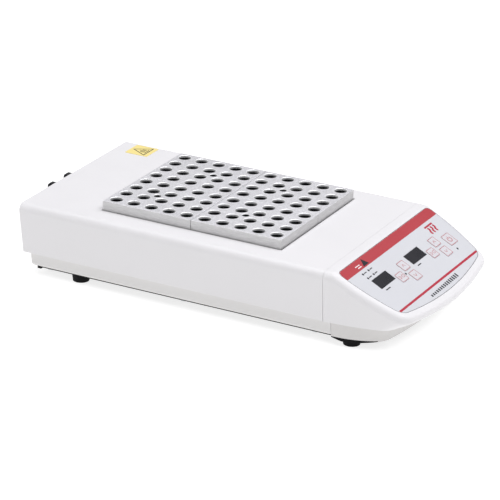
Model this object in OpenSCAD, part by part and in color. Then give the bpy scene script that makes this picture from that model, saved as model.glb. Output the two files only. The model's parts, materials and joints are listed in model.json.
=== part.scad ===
// Dry block heater with four lift-out blocks, a sloped keypad console and a rear rod clamp.
// Z is up, the console faces -Y, and the bench is at z = 0 under the middle of the heater.

/* [Case] */
// Width of the top cover at its top
case_w = 210; // [205:1:225]
// Length from the console's front lip to the rear wall's top edge
case_len = 413.2; // [405.2:1:440.2]
// Height of the cover's flat top above the bench
case_h = 74; // [72:1:80]
// Height of the parting line between cover and base
split_h = 24; // [23:0.5:26]
// Lean of the long side walls
side_draft = 5; // [3:0.5:6]
// Lean of the rear wall
rear_draft = 3; // [1:0.5:4]
// Radius of the cover's long top edges
edge_r = 7.5; // [6:0.5:9]
// Wall thickness of the moulded shells
wall = 3; // [2.6:0.1:3.4]
// Height of the rubber feet
foot_h = 8; // [7:0.5:9]
// Diameter of a rubber foot
foot_d = 18; // [16:1:22]

/* [Console] */
// Length of the console shell
console_len = 88.5; // [86:0.5:92]
// Distance from the front lip to the crease where the panel starts to slope
panel_run = 79; // [77:0.5:81]
// Slope of the keypad panel
panel_slope = 26.5; // [24:0.5:28]
// Length of the panel along its slope, to the front of its lip
panel_len = 89.8; // [88.6:0.1:90.4]
// Radius of the front lip
lip_r = 4.5; // [4:0.5:5]
// Radius of the bowed sides in plan
side_bow_r = 200; // [180:5:240]
// Radius of the bowed front in plan
front_bow_r = 400; // [350:10:500]
// Radius of the front corners in plan
corner_r = 18; // [16:1:20]

/* [Keys] */
// Width of a square key
key_w = 12.4; // [11:0.2:13]
// Height of a square key along the slope
key_l = 11.2; // [10:0.2:12]
// Size of the standby key
standby_w = 14.2; // [13:0.2:15]
// Key travel
key_travel = 0.5; // [0.3:0.1:0.6]
// Width of a display window
window_w = 29.2; // [28:0.2:30]
// Height of a display window along the slope
window_l = 12.4; // [11:0.2:13]

/* [Heating blocks] */
// Width of one block
block_w = 76; // [75:0.1:76.2]
// Length of one block
block_len = 95; // [94:0.1:95.2]
// Height of one block
block_h = 50.8; // [48:0.2:51]
// How far the blocks stand out of the cover
block_proud = 9.8; // [9:0.1:12]
// Grid spacing of neighbouring blocks across the heater
block_step_x = 76.4; // [76.3:0.1:76.6]
// Grid spacing of neighbouring blocks along the heater
block_step_y = 95.4; // [95.3:0.1:95.6]
// Diameter of a tube hole
tube_d = 12.4; // [12:0.1:13.4]
// Depth of a tube hole
tube_depth = 44; // [40:1:46]
// Spacing of the tube holes across the heater
tube_step_x = 18.9; // [18.6:0.05:19]
// Spacing of the tube holes along the heater
tube_step_y = 19.05; // [18.8:0.05:19.1]
// Diameter of the thermometer hole
thermo_d = 6.8; // [6:0.1:7]
// Distance from the rear wall to the middle of the block group
block_to_rear = 172.2; // [169.2:1:174.2]

/* [Rear wall] */
// Diameter of the support rod that the clamp takes
rod_d = 10; // [9.5:0.1:12]
// Sideways place of the clamp's middle
clamp_x = 5.5; // [-4:0.5:6]
// Distance from the middle of the clamp to each knob
knob_x = 15; // [13:0.5:16]
// Outer diameter of a clamp knob
knob_d = 15; // [14:0.5:16]
// How far the clamp's knobs stand out behind the rear wall
rear_reach = 21.8; // [21.8:0.5:25.8]

/* [Hidden] */
$fn = 48;
eps = 0.01;
big = 600;

front_y = -(case_len + rear_reach) / 2;
rear_y = front_y + case_len;
seam_y = front_y + console_len;
crease_y = front_y + panel_run;
base_seam_y = seam_y - 6.5;
block_y = rear_y - block_to_rear;

// Centre of the round along each long top edge of the cover
edge_x = case_w / 2 - edge_r * tan(side_draft) - edge_r / cos(side_draft);
edge_z = case_h - edge_r;

// Gap across a parting line between two shells
seam_gap = 0.4;

plate_top = case_h + block_proud - block_h;
plate_h = 10;
plate_w = 152;
plate_len = 190;
plate_bottom = plate_top - plate_h;
mat_h = 1.6;
sheet_t = 1;
hem_w = 4;
hem_drop = 1.6;
console_hem_drop = 2.4;
hem_front_y = front_y + 40;
hem_fade = 20;
skirt_t = 1.2;
skirt_gap = 0.2;
tray_floor = foot_h + sheet_t;
base_wall = 2.5;
floor_top = tray_floor + base_wall;

well_x = block_step_x / 2 + block_w / 2 + 1.2;
well_y = block_step_y / 2 + block_len / 2 + 1.2;
well_wall = 0.8;
blanket = 4.8;

foot_x = 82;
foot_ys = [front_y + 67, rear_y - 57];
boss_x = 87;
boss_ys = [seam_y + 14, block_y, rear_y - 26];
boss_d = 7;
screw_r = 1.5;
console_boss_at = [[86.5, seam_y - 10.5], [60, seam_y - 49.5]];
console_boss_d = 6;
board_post_at = [[-73, 12], [73, 12], [-73, 62], [73, 62]];

overlay_t = 0.8;
overlay_half_w = case_w / 2 - 8.3;
overlay_top = 2.3;
overlay_end = panel_len - 9.7;
overlay_corner_r = 5;
key_proud = 0.3;
key_t = 1.3;
key_pocket = 1.8;
key_gap = 0.2;
stem_r = 2;
stem_clear = 0.4;
board_top = -10;
board_t = 1.6;
switch_top = -6.6;
switch_w = 6;

// Key group origins across the panel, and what each group holds: [x, s]
group_x = [-58.2, 10.2];
display_s = 33.8;
up_at = [40.8, 34.7];
start_at = [23.2, 42.4];
down_at = [40.8, 49];
standby_at = [72.3, 41.7];
led_at = [[-72.4, 17.8], [-60.8, 17.8], [-72.4, 23.8], [-60.8, 23.8], [-26, 42.4], [67.6, 54.1]];
led_r = 1.5;
key_at = [
    for (g = group_x, k = [up_at, start_at, down_at]) [g + k[0], k[1]],
    standby_at
];

inlet_at = [-62, -28];
inlet_w = 48;
inlet_l = 31;
inlet_body_w = 28.4;
inlet_body_l = 27;
inlet_depth = 28;
switch_at = [48, -28];
switch_body_w = 13.2;
switch_body_l = 19.4;
rocker_w = 13;
rocker_pin_r = 1.5;
jack_at = [74, -28];
jack_r = 5;
clamp_z = 54;
clamp_w = 46;
seat_h = 26;
bar_h = 12;
seat_t = 7;
bar_t = 7;
bar_gap = 0.6;
knob_gap = 0.3;
knob_t = rear_reach - seat_t - bar_gap - bar_t - knob_gap;
stud_r = 2.5;
stud_len = seat_t + bar_gap + bar_t + 6;

base_low_half = 95;
base_top_half = 97;
standoff_at = [60, 75];
probe_y = block_y - plate_len / 2;
probe_z = plate_bottom + 3;
power_board_y = rear_y - 42;
power_board_z = 17;
rocker_tilt = 8;
label_size = 25;
label_at = [83.5, rear_y - 28.2];

white = [0.93, 0.93, 0.95];
grey_white = [0.86, 0.86, 0.87];
steel = [0.72, 0.73, 0.75];
black = [0.08, 0.08, 0.09];
board_green = [0.1, 0.35, 0.2];

// ---------- helpers ----------

// Extrudes an XZ outline from y0 to y1
module along_y(y0, y1) {
    translate([0, y1, 0]) rotate([90, 0, 0]) linear_extrude(y1 - y0) children();
}

// Extrudes a YZ outline from x0 to x1
module along_x(x0, x1) {
    translate([x0, 0, 0]) rotate([90, 0, 90]) linear_extrude(x1 - x0) children();
}

module mirror_x() {
    children();
    mirror([1, 0, 0]) children();
}

module box(w, l, h) {
    translate([-w / 2, -l / 2, 0]) cube([w, l, h]);
}

// Flat rectangle with round corners
module round_rect(w, l, r) {
    square([w - 2 * r, l], center = true);
    square([w, l - 2 * r], center = true);
    for (x = [-1, 1], y = [-1, 1])
        translate([x * (w / 2 - r), y * (l / 2 - r)]) circle(r);
}

// Panel frame: x across, -y down the slope, z out of the panel
module on_panel(x = 0, s = 0) {
    translate([0, crease_y, case_h]) rotate([panel_slope, 0, 0]) translate([x, -s, 0]) children();
}

// Rear wall frame: x across, y out of the wall, z up the wall from its top edge
module on_rear(x = 0, z = 0) {
    translate([0, rear_y, case_h]) rotate([-rear_draft, 0, 0]) translate([x, 0, z]) children();
}

// Turns a part drawn along +Z so that it points out of the rear wall
module outward() {
    rotate([-90, 0, 0]) children();
}

function half_w(z, t = 0) = case_w / 2 - (case_h - z) * tan(side_draft) - t / cos(side_draft);

// Meeting point, on the +x side, of two circles [x, y, r]
function arcs_meet(a, b) =
    let (
        d = norm([b[0] - a[0], b[1] - a[1]]),
        u = (a[2] * a[2] - b[2] * b[2] + d * d) / (2 * d),
        v = sqrt(a[2] * a[2] - u * u),
        ex = (b[0] - a[0]) / d,
        ey = (b[1] - a[1]) / d,
        p = [a[0] + u * ex - v * ey, a[1] + u * ey + v * ex],
        q = [a[0] + u * ex + v * ey, a[1] + u * ey - v * ex]
    )
    p[0] > q[0] ? p : q;

// Outline of a bowed front: straight sides hw apart from the middle up to y_side, then bowed
// sides, round corners and a bowed front that reaches y_front; inset shrinks it all round
function bow_side(hw, y_side, bow) = [hw - bow, y_side, bow];
function bow_front(y_front) = [0, y_front + front_bow_r, front_bow_r];
function shrink(c, t) = [c[0], c[1], c[2] - t];
function bow_points(hw, y_side, y_front, bow, r, y_back, inset = 0) =
    let (
        side = bow_side(hw, y_side, bow),
        front = bow_front(y_front),
        c = arcs_meet(shrink(side, r), shrink(front, r)),
        a_side = atan2(c[1] - side[1], c[0] - side[0]),
        a_front = atan2(c[1] - front[1], c[0] - front[0]),
        steps = 8,
        right = concat(
            [[hw - inset, y_back]],
            [for (i = [0:steps]) let (a = a_side * i / steps)
                [side[0] + (bow - inset) * cos(a), side[1] + (bow - inset) * sin(a)]],
            [for (i = [1:steps]) let (a = a_side + (a_front - a_side) * i / steps)
                [c[0] + (r - inset) * cos(a), c[1] + (r - inset) * sin(a)]],
            [for (i = [1:steps]) let (a = a_front + (-90 - a_front) * i / steps)
                [front[0] + (front_bow_r - inset) * cos(a), front[1] + (front_bow_r - inset) * sin(a)]]
        )
    )
    concat(right, [for (i = [len(right) - 2:-1:0]) [-right[i][0], right[i][1]]]);

// ---------- shells ----------

// XZ outline of the cover, inset by t, from height z0 up
module cover_profile(t = 0, z0 = split_h) {
    r = edge_r - t;
    side_x = edge_x + r * cos(side_draft);
    side_z = edge_z - r * sin(side_draft);
    foot_half = half_w(z0, t);
    polygon([
        [-foot_half, z0], [foot_half, z0], [side_x, side_z],
        [edge_x, edge_z + r], [-edge_x, edge_z + r], [-side_x, side_z]
    ]);
    for (x = [-edge_x, edge_x])
        translate([x, edge_z]) circle(r);
}

module behind_rear_wall(t) {
    on_rear() translate([-big / 2, -t, -big / 2]) cube([big, big, big]);
}

// Hole through the rear wall for the body of a part w wide and l high
module wall_cut(w, l) {
    cube([w + 0.4, 4 * wall, l + 0.4], center = true);
}

// Solid block with the cover's outline: t = 0 is its outside, t = wall is its hollow
module cover_form(t) {
    front = t > 0 ? seam_y - 1 : seam_y;
    difference() {
        along_y(front, rear_y + 1) cover_profile(t, t > 0 ? split_h - 1 : split_h);
        behind_rear_wall(t);
    }
}

module cover_bosses() {
    for (x = [-boss_x, boss_x], y = boss_ys)
        translate([x, y, floor_top]) cylinder(h = case_h - wall / 2 - floor_top, d = boss_d);
}

module top_cover() color(white) {
    difference() {
        union() {
            difference() {
                cover_form(0);
                cover_form(wall);
            }
            cover_bosses();
        }
        translate([0, block_y, case_h / 2])
            box(2 * well_x, 2 * well_y, case_h);
        on_rear(inlet_at[0], inlet_at[1]) wall_cut(inlet_body_w, inlet_body_l);
        on_rear(switch_at[0], switch_at[1]) wall_cut(switch_body_w, switch_body_l);
        on_rear(jack_at[0], jack_at[1]) outward() cylinder(h = 4 * wall, r = jack_r + 0.2, center = true);
        clamp_studs_at() cylinder(h = 6 * wall, r = stud_r, center = true);
        for (x = [-boss_x, boss_x], y = boss_ys)
            translate([x, y, floor_top - 1]) cylinder(h = 16, r = screw_r);
    }
}

// Outline of the sloped panel: a ball of radius r rolls inside it at each of these places
function panel_front() = bow_front(-panel_len);
function panel_side() = bow_side(edge_x + edge_r, -5, side_bow_r);
function panel_corner() = arcs_meet(shrink(panel_side(), corner_r), shrink(panel_front(), corner_r));
function panel_balls() =
    let (
        c = panel_corner(),
        side = panel_side(),
        front = panel_front(),
        a_side = atan2(c[1] - side[1], c[0] - side[0]),
        a_front = atan2(c[1] - front[1], c[0] - front[0])
    )
    concat(
        [for (k = [0:3]) let (a = a_side * k / 3)
            [side[0] + (side_bow_r - edge_r) * cos(a), side[1] + (side_bow_r - edge_r) * sin(a), edge_r]],
        [for (k = [1:3]) let (a = a_side + (a_front - a_side) * k / 3, r = edge_r + (lip_r - edge_r) * k / 3)
            [c[0] + (corner_r - r) * cos(a), c[1] + (corner_r - r) * sin(a), r]],
        [for (k = [1:3]) let (a = a_front + (-90 - a_front) * k / 3)
            [front[0] + (front_bow_r - lip_r) * cos(a), front[1] + (front_bow_r - lip_r) * sin(a), lip_r]]
    );

// Lower rim of the console shell
function console_rim(t) =
    bow_points(half_w(split_h) - 1, seam_y, front_y + 15, side_bow_r, corner_r, seam_y + 1, t);

module console_form(t) {
    back = seam_y - (t > 0 ? -1 : seam_gap);
    rim_z = t > 0 ? split_h - 1 : split_h;
    hull() {
        along_y(back - eps, back) cover_profile(t, rim_z);
        for (x = [-edge_x, edge_x])
            along_y(crease_y, crease_y + eps) translate([x, edge_z]) circle(edge_r - t);
        for (b = panel_balls(), m = [-1, 1])
            on_panel() translate([m * b[0], b[1], -b[2]]) sphere(r = b[2] - t, $fn = 16);
        translate([0, 0, rim_z]) linear_extrude(eps) intersection() {
            polygon(console_rim(t));
            translate([-big / 2, back - big]) square(big);
        }
    }
}

// Outline of the keypad overlay in the panel frame, shrunk by t
module overlay_shape(t = 0) {
    r = overlay_corner_r;
    x = overlay_half_w - t - r;
    y = -overlay_top - t - r;
    difference() {
        polygon(bow_points(overlay_half_w, -5, -overlay_end, side_bow_r, corner_r - 4, 20, t));
        translate([-big / 2, y + r]) square(big);
        for (m = [0, 1]) mirror([m, 0])
            difference() {
                translate([x, y]) square(2 * r);
                translate([x, y]) circle(r);
            }
    }
}

module key_outline(i, grow = 0) {
    w = i == 6 ? standby_w : key_w;
    l = i == 6 ? standby_w - 0.4 : key_l;
    round_rect(w + 2 * grow, l + 2 * grow, 1.2 + grow);
}

module at_key(i) {
    on_panel(key_at[i][0], key_at[i][1]) children();
}

module window_places() {
    for (g = group_x) on_panel(g, display_s) children();
}

module window_cuts() {
    window_places() cube([window_w + 0.3, window_l + 0.3, 4 * wall], center = true);
}

// Lip inside the shells that bridges the seam between cover and console
module seam_tongue() {
    along_y(seam_y - 6, seam_y - 2 * seam_gap) difference() {
        cover_profile(wall - 1);
        cover_profile(wall + 1.8, split_h - 1);
    }
    along_y(seam_y - 1, seam_y + 6) difference() {
        cover_profile(wall + 0.3);
        cover_profile(wall + 1.8, split_h - 1);
    }
}

module console_bosses(r, h) {
    for (p = console_boss_at)
        translate([p[0], p[1], floor_top]) cylinder(h = h, r = r);
}

module front_console() color(white) {
    difference() {
        union() {
            difference() {
                console_form(0);
                console_form(wall);
            }
            seam_tongue();
            for (p = board_post_at)
                on_panel(p[0], p[1]) translate([0, 0, board_top]) cylinder(h = -board_top - wall + 1, d = 6);
            intersection() {
                console_form(1);
                mirror_x() console_bosses(console_boss_d / 2, case_h);
            }
        }
        on_panel() translate([0, 0, -overlay_t]) linear_extrude(5) overlay_shape(-0.3);
        window_cuts();
        for (i = [0:6]) {
            at_key(i) translate([0, 0, -key_pocket]) linear_extrude(5) key_outline(i, key_gap);
            at_key(i) translate([0, 0, -2 * wall]) cylinder(h = 2 * wall, r = stem_r + stem_clear);
        }
        for (p = led_at)
            on_panel(p[0], p[1]) translate([0, 0, -2 * wall]) cylinder(h = 2 * wall, r = led_r + 0.3);
        for (p = board_post_at)
            on_panel(p[0], p[1]) translate([0, 0, board_top - 1]) cylinder(h = 7, r = 1);
        mirror_x() console_bosses(screw_r, 15);
    }
}

// ---------- base ----------

// XZ outline of the base tray; t = 0 is its outside and t = wall its hollow
module base_profile(t, top) {
    low = t > 0 ? floor_top : tray_floor;
    chamfer = 3;
    points = [
        [base_low_half - chamfer - t / 2, low],
        [base_low_half - t, tray_floor + chamfer + t / 4],
        [base_top_half - t, split_h],
        [base_top_half - t, top]
    ];
    polygon(concat(points, [for (i = [len(points) - 1:-1:0]) [-points[i][0], points[i][1]]]));
}

module base_form(t, top, front) {
    rear_top = rear_y - (case_h - split_h) * tan(rear_draft) - 7;
    edge = 1.2;
    intersection() {
        along_y(front, rear_y) base_profile(t, top);
        along_x(-case_w, case_w) polygon([
            [base_seam_y - 5, 0], [rear_top - edge - t, 0], [rear_top - edge - t, tray_floor],
            [rear_top - t, tray_floor + edge], [rear_top - t, case_h], [base_seam_y - 5, case_h]
        ]);
    }
}

module base_holes() {
    for (x = [-foot_x, foot_x])
        translate([x, foot_ys[1], 0]) cylinder(h = 30, r = 1.7);
    for (x = [-boss_x, boss_x], y = boss_ys)
        translate([x, y, 0]) cylinder(h = 30, r = 1.7);
    for (x = [-1, 1], y = [-1, 1])
        translate([x * standoff_at[0], block_y + y * standoff_at[1], 0]) cylinder(h = 30, r = 1.7);
}

module base_tray() color(grey_white) {
    difference() {
        base_form(0, split_h, base_seam_y + seam_gap);
        base_form(base_wall, case_h, base_seam_y - 1);
        base_holes();
    }
    difference() {
        base_form(0, split_h + 6, seam_y + 8);
        base_form(base_wall, case_h, seam_y + 7);
        translate([-big / 2, -big / 2, split_h - big]) cube(big);
    }
}

function console_base_low(t) =
    bow_points(base_low_half, base_seam_y - 2, front_y + 27, 75, corner_r + 2, base_seam_y + 10, t);
function console_base_top(t) =
    bow_points(base_top_half, base_seam_y - 2, front_y + 21, 110, corner_r + 2, base_seam_y + 10, t);

module console_base_form(t) {
    low = t > 0 ? floor_top : foot_h;
    difference() {
        hull() {
            translate([0, 0, low]) linear_extrude(eps) polygon(console_base_low(t));
            translate([0, 0, split_h]) linear_extrude(t > 0 ? 1 : eps) polygon(console_base_top(t));
        }
        translate([-big / 2, base_seam_y + (t > 0 ? 1 : 0), -1]) cube(big);
    }
}

// Lip of the console base that closes the console's lower rim from inside
module console_base_lip() {
    translate([0, 0, split_h - eps]) linear_extrude(2) difference() {
        polygon(console_rim(wall + 0.4));
        polygon(console_base_top(base_wall));
        translate([-big / 2, base_seam_y]) square(big);
    }
}

// Shape in the console's footprint, cut off where the base tray starts
module console_foot(t) {
    difference() {
        polygon(console_base_low(t));
        translate([-big / 2, base_seam_y]) square(big);
    }
}

module console_base() color(grey_white) {
    console_base_lip();
    difference() {
        console_base_form(0);
        console_base_form(base_wall);
        // room for the bottom plate, which the front skirt hides
        translate([0, 0, foot_h - 1]) linear_extrude(1 + sheet_t) {
            console_foot(skirt_t);
            translate([-big / 2, hem_front_y]) square(big);
        }
        for (x = [-foot_x, foot_x])
            translate([x, foot_ys[0], 0]) cylinder(h = 30, r = 1.7);
        mirror_x() for (p = console_boss_at)
            translate([p[0], p[1], 0]) cylinder(h = 30, r = 1.7);
    }
}

// Turned-down edge of the bottom plate beside the console, fading out at both ends
module console_hem() {
    low = foot_h - console_hem_drop;
    start = hem_front_y + skirt_gap;
    intersection() {
        translate([0, 0, low]) linear_extrude(console_hem_drop + sheet_t) difference() {
            console_foot(0);
            polygon(console_base_low(sheet_t));
        }
        along_x(-big / 2, big / 2)
            polygon([[start, foot_h + sheet_t], [start, foot_h], [start + hem_fade, low],
                [base_seam_y - hem_fade / 2, low], [base_seam_y, foot_h], [base_seam_y, foot_h + sheet_t]]);
    }
}

module bottom_plate() color(black) {
    half = base_low_half - 3.2;
    back = rear_y - 14;
    difference() {
        union() {
            translate([0, 0, foot_h]) linear_extrude(sheet_t) {
                console_foot(skirt_t + skirt_gap);
                intersection() {
                    console_foot(0);
                    translate([-big / 2, hem_front_y + skirt_gap]) square(big);
                }
            }
            console_hem();
            translate([0, 0, foot_h]) linear_extrude(sheet_t)
                polygon(bow_points(half, base_seam_y - 2, front_y + 29, 75, corner_r, back));
            translate([-half, back - hem_w, foot_h - hem_drop]) cube([2 * half, hem_w, hem_drop + sheet_t]);
        }
        base_holes();
        for (x = [-foot_x, foot_x])
            translate([x, foot_ys[0], 0]) cylinder(h = 30, r = 1.7);
        mirror_x() for (p = console_boss_at)
            translate([p[0], p[1], 0]) cylinder(h = 30, r = 1.7);
    }
}

// ---------- keypad ----------

module keypad_overlay() color([0.88, 0.88, 0.9]) {
    difference() {
        on_panel() translate([0, 0, -overlay_t]) linear_extrude(overlay_t) overlay_shape();
        for (i = [0:6])
            at_key(i) translate([0, 0, -5]) linear_extrude(10) key_outline(i, key_gap);
        window_cuts();
    }
}

// One key: its cap stands just proud of the overlay and its stem reaches the switch below
module key(i) color([0.9, 0.88, 0.9]) {
    stem_end = switch_top + key_travel + 0.05;
    at_key(i) {
        translate([0, 0, key_proud - key_t]) linear_extrude(key_t) key_outline(i);
        translate([0, 0, stem_end]) cylinder(h = key_proud - key_t - stem_end, r = stem_r);
    }
}

module key_temp_up() key(0);
module key_temp_start() key(1);
module key_temp_down() key(2);
module key_time_up() key(3);
module key_time_start() key(4);
module key_time_down() key(5);
module key_standby() key(6);

module display_windows() color([0.2, 0.2, 0.24]) {
    window_places() translate([-window_w / 2, -window_l / 2, -wall]) cube([window_w, window_l, wall - 0.2]);
}

module display_modules() color(black) {
    window_places() translate([0, 0, board_top]) box(34, 15, -board_top - wall - 0.1);
}

module control_board() color(board_green) {
    difference() {
        on_panel(0, 37) translate([0, 0, board_top - board_t]) box(156, 58, board_t);
        for (p = board_post_at)
            on_panel(p[0], p[1]) translate([0, 0, board_top - 5]) cylinder(h = 10, r = 1.2);
        mirror_x() console_bosses(console_boss_d / 2 + 0.6, case_h);
    }
}

module control_board_screws() color(steel) {
    for (p = board_post_at)
        on_panel(p[0], p[1]) translate([0, 0, board_top - board_t]) pan_screw(2.2, 1.5, 1, 6);
}

// Screw drawn pointing up: its head is below z = 0 and its shank above
module pan_screw(head_r, head_h, shank_r, shank_len) {
    difference() {
        translate([0, 0, -head_h]) cylinder(h = head_h, r = head_r);
        translate([0, 0, -head_h - 1]) cylinder(h = 1 + head_h / 2, r = head_r / 2, $fn = 6);
    }
    cylinder(h = shank_len, r = shank_r);
}

module tactile_switches() color(black) {
    for (i = [0:6])
        at_key(i) {
            translate([0, 0, board_top]) box(switch_w, switch_w, switch_top - 0.2 - board_top);
            translate([0, 0, switch_top - 0.2]) cylinder(h = 0.2, r = 1.6);
        }
}

module indicator_leds() color([0.8, 0.2, 0.2]) {
    for (p = led_at)
        on_panel(p[0], p[1]) translate([0, 0, board_top])
            cylinder(h = -board_top - overlay_t - 0.1, r = led_r);
}

// ---------- heating blocks ----------

// One block in its own frame, standing on z = 0; thermo_side is +1 or -1
module heating_block(thermo_side) {
    c = 0.8;
    difference() {
        intersection() {
            along_y(-block_len / 2, block_len / 2) chamfered_top(block_w, block_h, c);
            along_x(-block_w / 2, block_w / 2) chamfered_top(block_len, block_h, c);
        }
        for (i = [-2:2], j = [-1.5:1.5])
            translate([j * tube_step_x, i * tube_step_y, block_h - tube_depth]) {
                cylinder(h = tube_depth + 1, d = tube_d);
                translate([0, 0, tube_depth - 0.5]) cylinder(h = 0.51, d1 = tube_d, d2 = tube_d + 1);
            }
        translate([0, thermo_side * tube_step_y / 2, block_h - 38]) cylinder(h = 39, d = thermo_d);
    }
}

module chamfered_top(w, h, c) {
    polygon([[-w / 2, 0], [w / 2, 0], [w / 2, h - c], [w / 2 - c, h], [c - w / 2, h], [-w / 2, h - c]]);
}

module placed_block(side_x, side_y, thermo_side) color([0.75, 0.77, 0.78]) {
    translate([side_x * block_step_x / 2, block_y + side_y * block_step_y / 2, plate_top])
        heating_block(thermo_side);
}

module block_rear_left() placed_block(-1, 1, 1);
module block_rear_right() placed_block(1, 1, -1);
module block_front_left() placed_block(-1, -1, 1);
module block_front_right() placed_block(1, -1, 1);

// ---------- heater ----------

module well_liner() color(steel) {
    z0 = plate_top - 3;
    flange_w = 4;
    translate([0, block_y, 0]) difference() {
        union() {
            translate([0, 0, z0])
                box(2 * (well_x + well_wall), 2 * (well_y + well_wall), case_h - wall - z0);
            translate([0, 0, case_h - wall - well_wall])
                box(2 * (well_x + flange_w), 2 * (well_y + flange_w), well_wall);
        }
        translate([0, 0, z0 - 1]) box(2 * well_x, 2 * well_y, case_h);
    }
}

module at_standoffs() {
    for (x = [-1, 1], y = [-1, 1])
        translate([x * standoff_at[0], block_y + y * standoff_at[1], 0]) children();
}

module heater_plate() color([0.7, 0.71, 0.73]) {
    difference() {
        translate([0, block_y, plate_bottom]) box(plate_w, plate_len, plate_h);
        at_standoffs() translate([0, 0, plate_bottom - 1]) cylinder(h = 8, r = screw_r);
        translate([0, probe_y - 5, probe_z]) rotate([-90, 0, 0]) cylinder(h = 45, r = 1.6);
    }
}

module heating_mat() color([0.7, 0.3, 0.15]) {
    difference() {
        translate([0, block_y, plate_bottom - mat_h]) box(plate_w - 4, plate_len - 4, mat_h);
        at_standoffs() cylinder(h = 40, r = 4.5);
        translate([0, block_y, 0]) cylinder(h = 40, r = 9);
    }
}

module floor_insulation() color([0.9, 0.88, 0.8]) {
    z0 = floor_top + 2;
    difference() {
        translate([0, block_y, z0]) box(plate_w + 1, plate_len + 1, plate_bottom - mat_h - 0.2 - z0);
        at_standoffs() cylinder(h = 40, r = 4.5);
        translate([0, block_y, 0]) cylinder(h = 40, r = 10);
    }
}

module side_insulation() color([0.9, 0.88, 0.8]) {
    z0 = floor_top + 2;
    inner_x = 2 * (well_x + well_wall + 0.2);
    inner_y = 2 * (well_y + well_wall + 0.2);
    difference() {
        translate([0, block_y, z0])
            box(inner_x + 2 * blanket, inner_y + 2 * blanket, case_h - wall - well_wall - 0.2 - z0);
        translate([0, block_y, 0]) box(inner_x, inner_y, case_h);
        translate([0, probe_y - 20, probe_z]) rotate([-90, 0, 0]) cylinder(h = 30, r = 2.2);
    }
}

module plate_standoffs() color(steel) {
    at_standoffs() difference() {
        translate([0, 0, floor_top]) cylinder(h = plate_bottom - floor_top, r = 4);
        cylinder(h = 40, r = 1.7);
    }
}

module plate_screws() color(steel) {
    at_standoffs() translate([0, 0, foot_h]) pan_screw(3, 2.2, screw_r - 0.05, plate_bottom + 5 - foot_h);
}

module thermal_cutout() color(black) {
    translate([0, block_y, floor_top + 3]) {
        cylinder(h = plate_bottom - floor_top - 3, r = 8);
        for (x = [-5, 5])
            translate([x, 0, -1.6]) box(0.8, 6, 1.6);
    }
}

module temperature_probe() color(steel) {
    translate([0, probe_y - 4, probe_z]) rotate([-90, 0, 0]) cylinder(h = 42, r = 1.55);
}

// ---------- power section ----------

module on_power_board(x, y) {
    translate([x, power_board_y + y, power_board_z + board_t]) children();
}

module power_board() color(board_green) {
    difference() {
        translate([0, power_board_y, power_board_z]) box(150, 46, board_t);
        for (x = [-70, 70], y = [-18, 18])
            translate([x, power_board_y + y, 0]) cylinder(h = 40, r = 1.2);
    }
}

module power_board_standoffs() color(steel) {
    for (x = [-70, 70], y = [-18, 18])
        translate([x, power_board_y + y, 0]) {
            translate([0, 0, floor_top]) cylinder(h = power_board_z - floor_top, r = 3);
            translate([0, 0, power_board_z]) cylinder(h = board_t, r = 1.1);
            translate([0, 0, power_board_z + board_t]) cylinder(h = 1.4, r = 2.4);
        }
}

module transformer() color([0.25, 0.25, 0.28]) {
    on_power_board(12, -6) {
        box(38, 10, 26);
        translate([0, 0, 4]) box(24, 28, 18);
    }
}

module relay() color([0.15, 0.2, 0.6]) {
    on_power_board(-26, -6) box(20, 16, 15);
}

module heat_sink() color([0.6, 0.61, 0.63]) {
    on_power_board(54, -8) {
        translate([0, 0, 0]) box(30, 3, 24);
        for (i = [-3:3])
            translate([i * 4.5, 5.5, 0]) box(1.5, 9, 24);
    }
}

module triac() color(black) {
    on_power_board(54, -12) {
        translate([0, 0, 6]) box(10, 4.8, 13);
        for (x = [-2.5, 0, 2.5])
            translate([x, 0, 0]) box(0.8, 0.8, 6);
    }
}

module terminal_block() color([0.2, 0.5, 0.3]) {
    on_power_board(-56, -8) difference() {
        box(30, 12, 12);
        for (i = [-2:2])
            translate([i * 5.6, 0, 8]) cylinder(h = 5, r = 2);
    }
}

// ---------- rear wall parts ----------

module power_inlet() color(black) {
    on_rear(inlet_at[0], inlet_at[1]) difference() {
        union() {
            translate([-inlet_w / 2, 0, -inlet_l / 2]) cube([inlet_w, 2.5, inlet_l]);
            translate([0, -inlet_depth / 2, 0])
                cube([inlet_body_w, inlet_depth, inlet_body_l], center = true);
        }
        inlet_socket();
        translate([-11.2, -24, -12.8]) cube([22.4, 30, 6.8]);
        for (x = [-20, 20])
            translate([x, -1, 0]) outward() cylinder(h = 5, r = 1.7);
    }
}

// Socket for a mains connector, with two cut lower corners
module inlet_socket() {
    translate([0, 5, 4]) rotate([90, 0, 0]) linear_extrude(23)
        polygon([[-12.3, 8.4], [12.3, 8.4], [12.3, -4], [8.2, -8.4], [-8.2, -8.4], [-12.3, -4]]);
}

module inlet_pins() color(steel) {
    on_rear(inlet_at[0], inlet_at[1]) for (p = [[-7, 2], [7, 2], [0, 6]])
        translate([p[0] - 1, -18, p[1] - 2]) cube([2, 15, 4]);
}

module fuse_drawer() color([0.12, 0.12, 0.13]) {
    on_rear(inlet_at[0], inlet_at[1] - 9.4) difference() {
        union() {
            translate([-10.9, -22, -3.1]) cube([21.8, 24.6, 6.2]);
            translate([-12, 2.6, -3.6]) cube([24, 1.8, 6.8]);
        }
        for (x = [-5.4, 5.4])
            translate([x, -21, 0.4]) outward() cylinder(h = 21, r = 2.65);
        for (x = [-5.4, 5.4])
            translate([x - 2.65, -21, 0.4]) cube([5.3, 21, 5]);
    }
}

module fuses() color([0.8, 0.82, 0.85]) {
    for (x = [-5.4, 5.4])
        on_rear(inlet_at[0] + x, inlet_at[1] - 9) translate([0, -20.5, 0])
            outward() cylinder(h = 20, r = 2.5);
}

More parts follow.
